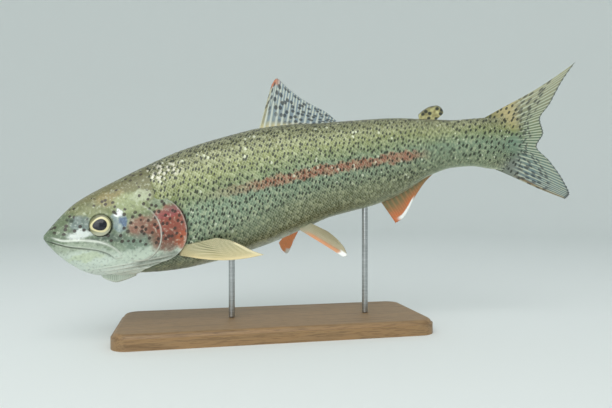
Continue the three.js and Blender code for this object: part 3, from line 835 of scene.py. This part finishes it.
for name, side, seed in (("scales_left", -1, 11), ("scales_right", 1, 12)):
    scale_coat(name, side, seed).data.materials.append(pearly_scales)

# ------------------------------------------------------------------ eyes
# Lidless eyes in shallow sockets: a clear domed front over a silver and gold iris, with a dark
# pupil that comes to a blunt point in front.

EYE_STATION, EYE_HEIGHT, EYE_RADIUS = 46, 3.8, 10.2
EYE_PROUD, EYE_DEPTH, EYE_DOME = 1.6, 7.0, 16
PUPIL_HALF_LENGTH, PUPIL_HALF_HEIGHT = 5.9, 4.7
EYE_FORWARD, EYE_UPWARD = math.radians(12), math.radians(8)


def eye_piece(name, side):
    """A lens spun from its profile, domed in front and flat behind, and set in its socket."""
    outline = [(r, EYE_PROUD - r * r / (2 * EYE_DOME)) for r in np.linspace(0, EYE_RADIUS, 15)]
    outline += [(EYE_RADIUS - 0.4, EYE_PROUD - 4.6), (EYE_RADIUS - 2.5, EYE_PROUD - 6.4)]
    outline += [(0, EYE_PROUD - 6.6)]
    mesh = mesh_of(name, spun(outline, 1e-4))
    flat = np.empty(3 * len(mesh.vertices))
    mesh.vertices.foreach_get("co", flat)
    forward, upward, outward = flat.reshape(-1, 3).T
    # The lens's axis leans a little forwards and up, as the head narrows towards the snout.
    outward = outward + (EYE_DEPTH - EYE_PROUD)
    ahead = forward * math.cos(EYE_FORWARD) + outward * math.sin(EYE_FORWARD)
    across = outward * math.cos(EYE_FORWARD) - forward * math.sin(EYE_FORWARD)
    above = upward * math.cos(EYE_UPWARD) + across * math.sin(EYE_UPWARD)
    across = across * math.cos(EYE_UPWARD) - upward * math.sin(EYE_UPWARD)
    centre = EYE_PROUD - EYE_DEPTH + width(EYE_STATION)
    points = posed(EYE_STATION - ahead, side * (centre + across), EYE_HEIGHT + above)
    mesh.vertices.foreach_set("co", points.ravel())
    # The pupil narrows towards its front.
    taper = PUPIL_HALF_HEIGHT * (1 - 0.22 * np.clip(forward / 5.7, -0.5, 1.2))
    pupil = np.hypot(forward / PUPIL_HALF_LENGTH, upward / taper)
    disc = np.stack([pupil, np.hypot(forward, upward) / EYE_RADIUS, upward / EYE_RADIUS], axis=-1)
    mesh.attributes.new("disc", "FLOAT_VECTOR", "POINT").data.foreach_set("vector", disc.ravel())
    if side < 0:
        mesh.flip_normals()
    mesh.shade_smooth()
    eye = shown(name, mesh)
    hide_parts(name)
    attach(eye, "root")
    return eye


# Moist cornea over the iris: glossy clear coat, gold ring round a blue-black pupil.
moist_eye, tree, shader = new_finish(
    "moist_trout_eye",
    {"Roughness": 0.25, "Coat Weight": 0.6, "Coat Roughness": 0.03, "Specular IOR Level": 0.3},
)
disc = add(tree, "Attribute", attribute_name="disc").outputs["Vector"]
pupil, radius, upward = add(tree, "SeparateXYZ", {0: disc}).outputs
flecks = add(tree, "TexNoise", {"Vector": disc, "Scale": 9.0, "Detail": 4.0}).outputs[0]
iris = add(
    tree,
    "ValToRGB",
    {"Fac": flecks},
    stops=[(0.3, "#5d5b3a"), (0.72, "#c9c79a"), (0.5, "#8f8d63")],
).outputs[0]
colour = painted(tree, iris, [
    # The iris darkened at the top is painted shade, as the light falls from above.
    (times(tree, between(tree, upward, 0.35, 0.8), 0.55), "#4a5240"),
    (times(tree, between(tree, upward, -0.3, -0.75), 0.5), "#dfe0cb"),
    (between(tree, pupil, 1.5, 1.3), "#e9dfae"),
    (between(tree, pupil, 1.09, 1.0), "#0a0f1c"),
    (between(tree, radius, 0.88, 0.95), "#33382b"),
])
tree.links.new(colour, shader.inputs["Base Color"])
for name, side in (("eye_left", -1), ("eye_right", 1)):
    eye_piece(name, side).data.materials.append(moist_eye)

# ------------------------------------------------------------------ fins
# Thin webs of skin over fans of soft rays that fork towards the margin. Each fin grows out of the
# flesh on a thicker foot; the small fatty fin before the tail has no rays.


def index_curves(points):
    """One smooth curve for each coordinate of a margin, from its first point to its last."""
    shares = np.linspace(0, 1, len(points))
    return [through(list(zip(shares, axis))) for axis in zip(*points)]


def middle_fin(root, sunk, margin, lean=lambda h, v: 0 * h, bow=lambda u: 0 * u):
    """A fin on the middle line, as the points of its middle surface and the way its faces look."""
    margin_a, margin_h = index_curves(margin)

    def surface(u, v):
        a, h = root(u)
        foot = h - np.sign(h) * sunk
        at_a = a + (margin_a(u) - a) * v
        at_h = foot + (margin_h(u) - foot) * v + bow(u) * np.sin(np.pi * v)
        return np.stack([at_a, lean(at_h, v), at_h], axis=-1), np.array([0.0, 1.0, 0.0])

    return surface


def paired_fin(side, root, margin, bow):
    """A fin of a pair, given by its right one's root and margin as (a, d, h)."""
    edge = index_curves(margin)
    root_front, root_rear = (np.array(corner, dtype=float) for corner in root)
    face = np.cross(np.array(margin[0]) - root_front, np.array(margin[-1]) - root_front)
    face = face / np.linalg.norm(face)

    def surface(u, v):
        foot = root_front + (root_rear - root_front) * u[:, None]
        tip = np.stack([curve(u) for curve in edge], axis=-1)
        middle = foot + (tip - foot) * v[:, None]
        middle[:, 2] -= bow * np.sin(np.pi * v) * (1 - u)
        return middle * np.array([1, side, 1]), face * np.array([1, side, 1])

    return surface


def along_back(first, last):
    return lambda u: (first + (last - first) * u, back(first + (last - first) * u))


def along_belly(first, last):
    return lambda u: (first + (last - first) * u, -belly(first + (last - first) * u))


def fin_piece(name, surface, rays, columns, rows, foot, tip, relief, finish):
    """A closed web wrapped round a fin's margin, with raised rays that fork past the middle."""

    def place(u, w):
        v = 1 - np.abs(2 * w - 1)
        face = np.sign(0.5 - w)
        ray = 0.5 + 0.5 * np.cos(2 * np.pi * u * rays)
        forked = 0.5 + 0.5 * np.cos(4 * np.pi * u * rays)
        past_fork = step(v - 0.5, 0.12)
        raised = (ray * (1 - past_fork) + forked * past_fork) ** 1.5 * (rays > 0)
        middle, normal = surface(u, v * (1 + 0.012 * (raised - 0.6) * v**6))
        flare = foot * np.exp(-v / 0.12)
        half = tip / 2 + flare + (relief * raised) * (1 - 0.5 * v)
        half = half * np.sqrt(np.clip(1 - (2 * u - 1) ** 30, 0, 1)) * (v > 1e-6) * (v < 1 - 1e-6)
        points = middle + normal * (face * half)[:, None]
        vectors = {
            "ray": np.stack([u * max(rays, 1), v, raised], axis=-1),
            "straight": points * MM,
            "zones": np.stack([np.clip(points[:, 2] / 50, -0.55, 0.55), 0 * u, 0 * u], axis=-1),
            "laid": np.stack([points[:, 0], 1.05 * points[:, 2], 0 * u], axis=-1) * MM,
        }
        return posed(*points.T), vectors

    fin = sheet_piece(name, columns, 2 * rows, place)
    fin.data.materials.append(finish)
    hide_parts(name)
    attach(fin, "root")
    return fin


def fin_web(
    name, rays, across, foot, edge, ray_tint, ray=0.7, dashes=0.0, dash_rows=8.0, bare=0.0, reach=1.0
):
    """
    A ray fin's skin. across are colour stops from the first ray to the last, foot is (colour, how
    far it reaches) and edge is (colour, where it starts, from which share of the rays to which).
    ray and dashes are the strengths of the pale rays and of the dark marks between them; the marks
    leave the front of the foot bare, and end where the reach does.
    """
    finish, tree, shader = new_finish(name, {"Roughness": 0.42, "Coat Weight": 0.3, "Coat Roughness": 0.15})
    vector = add(tree, "Attribute", attribute_name="ray").outputs["Vector"]
    number, v, ridge_mask = add(tree, "SeparateXYZ", {0: vector}).outputs
    u = add(tree, "Math", {0: number, 1: 1 / rays}, operation="MULTIPLY").outputs[0]
    colour = add(tree, "ValToRGB", {"Fac": u}, stops=across).outputs[0]
    cells = add(tree, "VectorMath", {0: vector, 1: (1, dash_rows, 0)}, operation="MULTIPLY")
    rearwards = add(tree, "Math", {0: u, 1: 0.8, 2: v}, operation="MULTIPLY_ADD").outputs[0]
    dash_cells = {"Vector": cells, "Scale": 1.0, "Randomness": 0.75}
    near = add(tree, "TexVoronoi", dash_cells, voronoi_dimensions="2D").outputs["Distance"]
    streak = add(tree, "TexNoise", {"Vector": cells, "Scale": 1.3, "Detail": 2.0}).outputs[0]
    foot_tint, foot_reach = foot
    edge_tint, edge_start, first_share, last_share = edge
    edge_strip = times(
        tree,
        between(tree, v, edge_start - 0.03, edge_start + 0.03),
        between(tree, u, first_share - 0.08, first_share + 0.04),
        between(tree, u, last_share + 0.08, last_share - 0.04),
    )
    dash_marks = times(
        tree,
        between(tree, near, 0.4, 0.24),
        between(tree, rearwards, bare - 0.2, bare + 0.2),
        between(tree, v, reach, reach - 0.08),
        dashes,
    )
    colour = painted(tree, colour, [
        (times(tree, between(tree, streak, 0.45, 0.75), 0.35), foot_tint),
        (times(tree, between(tree, v, foot_reach, foot_reach * 0.35), 0.9), foot_tint),
        (times(tree, between(tree, ridge_mask, 0.25, 0.8), ray), ray_tint),
        (edge_strip, edge_tint),
        (dash_marks, "#1d2329"),
    ])
    tree.links.new(colour, shader.inputs["Base Color"])
    return finish


# Back fin: pale bluish web, cream rays, rows of black dashes, a yellowish foot and a rusty tip.
back_fin_web = fin_web(
    "spotted_back_fin_web", 13,
    across=[(0.0, "#a39f80"), (1.0, "#77898a"), (0.06, "#89989c"), (0.3, "#7e8f98")],
    foot=("#cfc492", 0.22), edge=("#c07a58", 0.88, -0.2, 0.16), ray_tint="#d4d9ca", ray=0.75, dashes=0.8,
    dash_rows=7, bare=0.45,
)
fin_piece(
    "dorsal_fin",
    middle_fin(
        along_back(212, 287), 4,
        [(238, 97.5), (244, 102), (251, 92.5), (258, 83), (266, 74), (275, 66), (284, 58), (292, 47)],
    ),
    13, 208, 40, 1.2, 0.7, 0.35, back_fin_web,
)

# Fatty fin: thick yellowish skin with a few large black spots and a dark rim.
fatty_skin, tree, shader = new_finish("spotted_fatty_fin_skin", {"Roughness": 0.4, "Coat Weight": 0.3})
vector = add(tree, "Attribute", attribute_name="ray").outputs["Vector"]
_, v, _ = add(tree, "SeparateXYZ", {0: vector}).outputs
straight = add(tree, "Attribute", attribute_name="straight").outputs["Vector"]
laid = add(tree, "Attribute", attribute_name="laid").outputs["Vector"]
mottle = add(tree, "TexNoise", {"Vector": straight, "Scale": 1 / (3.85 * MM), "Detail": 2.0})
colour = add(
    tree, "ValToRGB", {"Fac": mottle}, stops=[(0.35, "#8e8555"), (0.65, "#c6c189")]
).outputs[0]
colour = painted(tree, colour, [
    (times(tree, between(tree, v, 0.8, 0.97), 0.7), "#2f3633"),
    (times(tree, spots(tree, laid, 6.0, 1.9, 40, 1.0), 0.95), "#20251f"),
])
tree.links.new(colour, shader.inputs["Base Color"])
fin_piece(
    "adipose_fin",
    middle_fin(
        along_back(374, 389), 3,
        [(374, 37), (380, 41), (387, 43.5), (393, 43.8), (398, 40.5), (399.5, 35.5), (392, 29.5)],
    ),
    0, 64, 16, 0.6, 1.6, 0.0, fatty_skin,
)

# Vent fin: olive at the foot, rusty orange further out, and white at the ends of its front rays.
vent_fin_web = fin_web(
    "rusty_vent_fin_web", 11,
    across=[(0.0, "#d06c38"), (1.0, "#7b7048"), (0.35, "#cc6a33"), (0.6, "#a8693a"), (0.8, "#8a6e44")],
    foot=("#6c6e46", 0.85), edge=("#fbfcf8", 0.86, 0.12, 0.5), ray_tint="#c98a58", ray=0.3,
)
fin_piece(
    "anal_fin",
    middle_fin(
        along_belly(317, 377), 4,
        [(329, -68.5), (338, -65.5), (346, -58), (353, -49), (361, -40.5), (369, -33), (379, -26)],
    ),
    11, 176, 30, 1.2, 0.7, 0.3, vent_fin_web,
)

# Tail fin: cream rays in the upper lobe, greener in the fork, grey below with a dark rear edge. The upper
# lobe's cream is partly painted highlight, as that lobe faces up into the light.
tail_fin_web = fin_web(
    "spotted_tail_fin_web", 20,
    across=[(0.0, "#7d6a50"), (1.0, "#9d9a72"), (0.035, "#6b7d83"), (0.25, "#708580"), (0.45, "#667c66"),
            (0.62, "#738263"), (0.8, "#8b9074"), (0.97, "#aca98a")],
    foot=("#a1935f", 0.25), edge=("#3d4648", 0.965, 0.0, 1.0), ray_tint="#c9ceb6", ray=0.8, dashes=0.7,
    dash_rows=11, reach=0.75,
)
tree = tail_fin_web.node_tree
shader = tree.nodes["Principled BSDF"]
web_colour = shader.inputs["Base Color"].links[0].from_socket
colour, at, _, _, _ = trout_colours(tree)
bend = add(tree, "Math", {0: at["lie"], 1: at["lie"]}, operation="MULTIPLY")
from_flesh = add(tree, "Math", {0: bend, 1: 14 * MM, 2: at["a"]}, operation="MULTIPLY_ADD").outputs[0]
mixed = add(
    tree,
    "Mix",
    {0: between(tree, from_flesh, 487 * MM, 470 * MM), 6: web_colour, 7: colour},
    data_type="RGBA",
).outputs[2]
near_flesh = between(tree, from_flesh, 490 * MM, 478 * MM)
mixed = painted(tree, mixed, [
    (times(tree, spots(tree, at["laid"], *STALK_SPOTS), near_flesh, 0.9), "#262b20"),
])
tree.links.new(mixed, shader.inputs["Base Color"])
fin_piece(
    "tail_fin",
    middle_fin(
        lambda u: (456 - 16 * (2 * u - 1) ** 2, 25.5 * (2 * u - 1)), 0,
        [(548, -59), (553, -53), (541, -38), (520, -19.5), (500, -4), (509, 11), (506, 25), (521, 44),
         (539, 70), (561, 96)],
        lean=lambda h, v: v * np.abs(h) * 0.12,
        bow=lambda u: -3.5 * (2 * u - 1) ** 4,
    ),
    20, 480, 40, 1.0, 0.7, 0.4, tail_fin_web,
)

# Shoulder fins: a pale cream front, olive towards the rear, with cream rays all over.
shoulder_fin_web = fin_web(
    "cream_shoulder_fin_web", 13,
    across=[(0.0, "#f6dfa6"), (1.0, "#4f5638"), (0.08, "#eed8a2"), (0.2, "#bdae79"), (0.6, "#7d7c53")],
    foot=("#a0966a", 0.2), edge=("#f0e3b8", 0.95, -0.2, 0.6), ray_tint="#faedc2", ray=0.85,
)
SHOULDER_ROOT = [(105, 21, -39), (107, 22, -31)]
LEFT_SHOULDER_MARGIN = [(179, 50, -58), (170, 47, -52), (161, 43, -44), (152, 38, -37), (141, 34, -32)]
RIGHT_SHOULDER_MARGIN = [(178, 42, -38), (173, 45, -32), (165, 45, -26), (155, 42, -22), (142, 37, -22)]
for name, side, margin in (
    ("pectoral_fin_left", -1, LEFT_SHOULDER_MARGIN),
    ("pectoral_fin_right", 1, RIGHT_SHOULDER_MARGIN),
):
    surface = paired_fin(side, SHOULDER_ROOT, margin, 5)
    fin_piece(name, surface, 13, 208, 40, 1.0, 0.6, 0.35, shoulder_fin_web)

# Belly fins. The left one has an orange front band, a greyish cream web and a white tip; the right
# one is orange nearly all over and white along its rear edge.
left_belly_web = fin_web(
    "banded_belly_fin_web", 9,
    across=[(0.0, "#e4935f"), (1.0, "#7d6d46"), (0.18, "#d57f4b"), (0.32, "#ab9c7c"), (0.6, "#9c9373")],
    foot=("#b0b098", 0.35), edge=("#fbfbf6", 0.87, -0.2, 0.32), ray_tint="#cfc4a6", ray=0.45,
)
right_belly_web = fin_web(
    "orange_belly_fin_web", 9,
    across=[(0.0, "#ffa873"), (1.0, "#fb9a62"), (0.5, "#ffa06a")],
    foot=("#cf9a6c", 0.3), edge=("#fbfbf6", 0.82, 0.42, 1.2), ray_tint="#eab08a", ray=0.3,
)
BELLY_FIN_ROOT = [(222, 9, -46), (236, 9, -44)]
LEFT_BELLY_MARGIN = [(256, 46, -83), (260, 46, -82), (260, 42, -76), (256, 37, -66), (250, 31, -57)]
RIGHT_BELLY_MARGIN = [(208, 31, -61), (209.5, 37, -68.5), (215, 42, -76), (220, 34, -68.5)]
RIGHT_BELLY_MARGIN += [(222.5, 26, -61)]
for name, side, margin, finish in (
    ("pelvic_fin_left", -1, LEFT_BELLY_MARGIN, left_belly_web),
    ("pelvic_fin_right", 1, RIGHT_BELLY_MARGIN, right_belly_web),
):
    surface = paired_fin(side, BELLY_FIN_ROOT, margin, 0)
    fin_piece(name, surface, 9, 144, 36, 1.0, 0.7, 0.35, finish)

# ------------------------------------------------------------------ throat membranes
# Two folds of thin pale skin that hang below the throat, each stiffened by the throat's fine rays.

throat_web = fin_web(
    "pale_throat_web", 9,
    across=[(0.0, "#b4c1b1"), (1.0, "#a1b09b"), (0.5, "#c0ccbc")],
    foot=("#99a892", 0.3), edge=("#d0d8c9", 0.9, 0.0, 1.0), ray_tint="#d6ddd0",
)
for name, side in (("throat_membrane_left", -1), ("throat_membrane_right", 1)):
    surface = middle_fin(
        lambda u: (41 + 25 * u, -34 + 0 * u), 0,
        [(40, -43), (44, -46.5), (51, -50.3), (58, -50), (67, -48.6)],
        lean=lambda h, v, side=side: side * (3 + (h + 52) * 0.25),
    )
    fin_piece(name, surface, 9, 108, 20, 0.4, 0.6, 0.2, throat_web)

# ------------------------------------------------------------------ stand
# A flat wooden base with rounded corners and a moulded top edge, and two short steel rods that are
# screwed up into the fish's belly. The base is oiled oak, the rods brushed stainless steel.

base_low, base_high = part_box("stand_base")
BASE_CORNER = 16 * MM
# Each step goes in by a width and up by a share of the thickness.
BASE_MOULDING = [(0.0, 0.72), (1.0 * MM, 0.0), (0.5 * MM, 0.06), (1.0 * MM, 0.13)]
BASE_MOULDING += [(1.3 * MM, 0.07), (1.6 * MM, 0.02)]


def drawn_out(form, face):
    """The face's copy at the far end, after it is extruded in place."""
    made = bmesh.ops.extrude_face_region(form, geom=[face])["geom"]
    return next(piece for piece in made if isinstance(piece, bmesh.types.BMFace))


board = bmesh.new()
bmesh.ops.create_grid(board, x_segments=1, y_segments=1, size=0.5)
spread = [high - low for low, high in zip(base_low, base_high)]
bmesh.ops.scale(board, verts=board.verts, vec=(spread[0], spread[1], 1))
middle = [(low + high) / 2 for low, high in zip(base_low, base_high)]
bmesh.ops.translate(board, verts=board.verts, vec=(middle[0], middle[1], base_low[2]))
bmesh.ops.bevel(
    board, geom=board.verts[:], offset=BASE_CORNER, affect="VERTICES", segments=14, profile=0.5, material=-1
)
board.faces.ensure_lookup_table()
top = board.faces[0]
for inset, rise in BASE_MOULDING:
    if inset:
        bmesh.ops.inset_region(board, faces=[top], thickness=inset, use_even_offset=True)
    else:
        top = drawn_out(board, top)
    bmesh.ops.translate(board, verts=top.verts, vec=(0, 0, rise * spread[2]))
bmesh.ops.holes_fill(board, edges=[edge for edge in board.edges if edge.is_boundary])
board_mesh = mesh_of("stand_board", board)
stand_board = shown("stand_board", board_mesh)
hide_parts("stand_base")
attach(stand_board, "root")

# Oiled oak: straight brown grain with darker pores along it and a soft satin gloss.
oiled_oak, tree, shader = new_finish("oiled_oak", {"Roughness": 0.46})
place = add(tree, "TexCoord").outputs["Object"]
# Bands of grain 71 mm long and 3.8 mm wide. The pores are finer in life, and 0.77 mm here to show.
grain_size = (1 / (71.4 * MM), 1 / (3.85 * MM), 1 / (3.85 * MM))
pore_size = (1 / (11.1 * MM), 1 / (0.77 * MM), 1 / (0.77 * MM))
grain_run = add(tree, "Mapping", {"Vector": place, "Scale": grain_size})
pore_run = add(tree, "Mapping", {"Vector": place, "Scale": pore_size})
grain = add(tree, "TexNoise", {"Vector": grain_run, "Scale": 1.0, "Detail": 4.0, "Distortion": 0.6})
pores = add(tree, "TexNoise", {"Vector": pore_run, "Scale": 1.0, "Detail": 2.0})
wood = add(
    tree, "ValToRGB", {"Fac": grain},
    stops=[(0.25, "#7d603f"), (0.75, "#b3936a"), (0.5, "#9c7b54")],
).outputs[0]
wood = painted(tree, wood, [(times(tree, between(tree, pores, 0.5, 0.35), 0.45), "#5b432b")])
tree.links.new(wood, shader.inputs["Base Color"])
bump = {"Height": pores, "Strength": 0.3, "Distance": 0.2 * MM}
tree.links.new(add(tree, "Bump", bump).outputs[0], shader.inputs["Normal"])
board_mesh.materials.append(oiled_oak)

# Brushed stainless steel: a grey metal with fine rings left by the brush.
brushed_steel, tree, shader = new_finish("brushed_stainless_steel", {"Metallic": 1.0, "Roughness": 0.3})
place = add(tree, "TexCoord").outputs["Object"]
# The brush's rings are finer in life, and are drawn 0.4 mm apart so that they show.
ring_size = (1 / (16.7 * MM), 1 / (16.7 * MM), 1 / (0.4 * MM))
rings = add(tree, "Mapping", {"Vector": place, "Scale": ring_size})
brush = add(tree, "TexNoise", {"Vector": rings, "Scale": 1.0, "Detail": 3.0})
steel = add(tree, "ValToRGB", {"Fac": brush}, stops=[(0.3, "#9a9d9e"), (0.7, "#c3c6c6")])
tree.links.new(steel.outputs[0], shader.inputs["Base Color"])
bump = {"Height": brush, "Strength": 0.2, "Distance": 0.05 * MM}
tree.links.new(add(tree, "Bump", bump).outputs[0], shader.inputs["Normal"])

ROD_RADIUS = 3 * MM
ROD_CHAMFER = 0.5 * MM
for node in ("stand_rod_front", "stand_rod_rear"):
    rod_low, rod_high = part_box(node)
    rod = bmesh.new()
    bmesh.ops.create_circle(rod, cap_ends=True, segments=48, radius=ROD_RADIUS - ROD_CHAMFER)
    centre = [(low + high) / 2 for low, high in zip(rod_low, rod_high)]
    bmesh.ops.translate(rod, verts=rod.verts, vec=(centre[0], centre[1], rod_low[2]))
    rod.faces.ensure_lookup_table()
    top = rod.faces[0]
    for rise, grow in (
        (ROD_CHAMFER, ROD_RADIUS / (ROD_RADIUS - ROD_CHAMFER)),
        (rod_high[2] - rod_low[2] - 2 * ROD_CHAMFER, 1.0),
        (ROD_CHAMFER, (ROD_RADIUS - ROD_CHAMFER) / ROD_RADIUS),
    ):
        top = drawn_out(rod, top)
        bmesh.ops.translate(rod, verts=top.verts, vec=(-centre[0], -centre[1], 0))
        bmesh.ops.scale(rod, verts=top.verts, vec=(grow, grow, 1))
        bmesh.ops.translate(rod, verts=top.verts, vec=(centre[0], centre[1], rise))
    bmesh.ops.holes_fill(rod, edges=[edge for edge in rod.edges if edge.is_boundary])
    rod_mesh = mesh_of(node + "_turned", rod)
    rod_mesh.materials.append(brushed_steel)
    turned_rod = shown(node + "_turned", rod_mesh)
    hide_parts(node)
    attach(turned_rod, "root")
